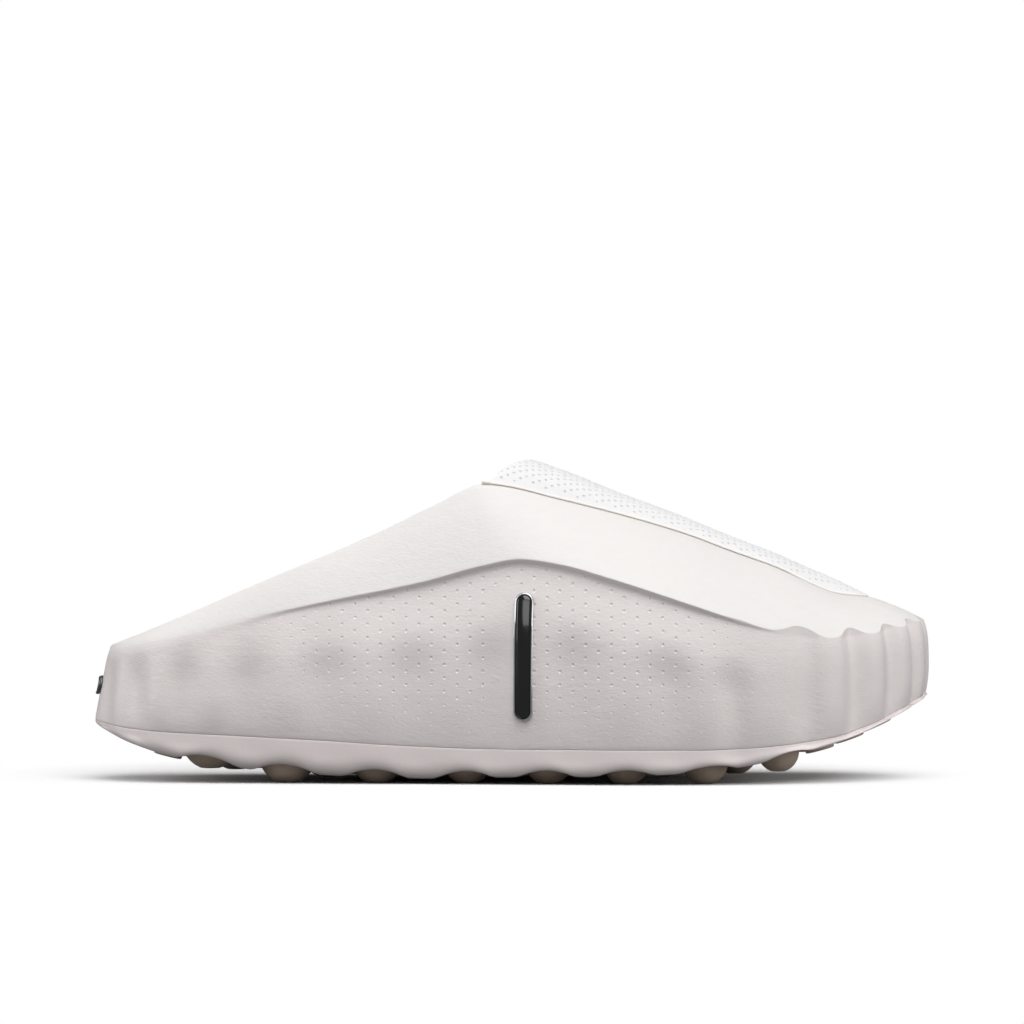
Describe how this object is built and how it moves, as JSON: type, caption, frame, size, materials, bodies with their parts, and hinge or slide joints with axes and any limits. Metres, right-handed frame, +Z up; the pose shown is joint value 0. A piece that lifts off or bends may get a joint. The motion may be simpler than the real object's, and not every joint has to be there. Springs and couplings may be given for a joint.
{
  "type": "slip-on sneaker mule",
  "caption": "Backless-style slip-on mule for the right foot, with a fluted wall, a mesh instep panel, a rocker sole and ball-shaped tread.",
  "frame": {"origin": "on the floor plane, under the middle of the shoe's outline", "axes": "+X towards the toe, -Y towards the outer side of the foot, +Z up"},
  "size_m": [0.306, 0.1169, 0.1176],
  "materials": {
    "upper": "smooth, fine grain",
    "mesh": "open spacer knit",
    "sole": "moulded foam skin",
    "rubber": "matte",
    "insole": "brushed",
    "badge": "domed and polished"
  },
  "bodies": {
    "root": {"ball_inner_1": "rubber", "ball_inner_2": "rubber", "ball_inner_3": "rubber", "ball_inner_4": "rubber", "ball_inner_5": "rubber", "ball_inner_6": "rubber", "ball_inner_7": "rubber", "ball_inner_8": "rubber", "ball_middle_1": "rubber", "ball_middle_2": "rubber", "ball_middle_3": "rubber", "ball_middle_4": "rubber", "ball_middle_5": "rubber", "ball_middle_6": "rubber", "ball_middle_7": "rubber", "ball_middle_8": "rubber", "ball_outer_1": "rubber", "ball_outer_2": "rubber", "ball_outer_3": "rubber", "ball_outer_4": "rubber", "ball_outer_5": "rubber", "ball_outer_6": "rubber", "ball_outer_7": "rubber", "ball_outer_8": "rubber", "heel_badge": "badge", "heel_pad_1": "rubber", "heel_pad_2": "rubber", "heel_pad_3": "rubber", "insole": "insole", "side_badge": "badge", "sole": "sole", "toe_pad_1": "rubber", "toe_pad_2": "rubber", "toe_pad_3": "rubber", "toe_pad_4": "rubber", "toe_pad_5": "rubber", "toe_pad_6": "rubber", "upper": "upper", "vamp_mesh": "mesh"}
  },
  "joints": []
}
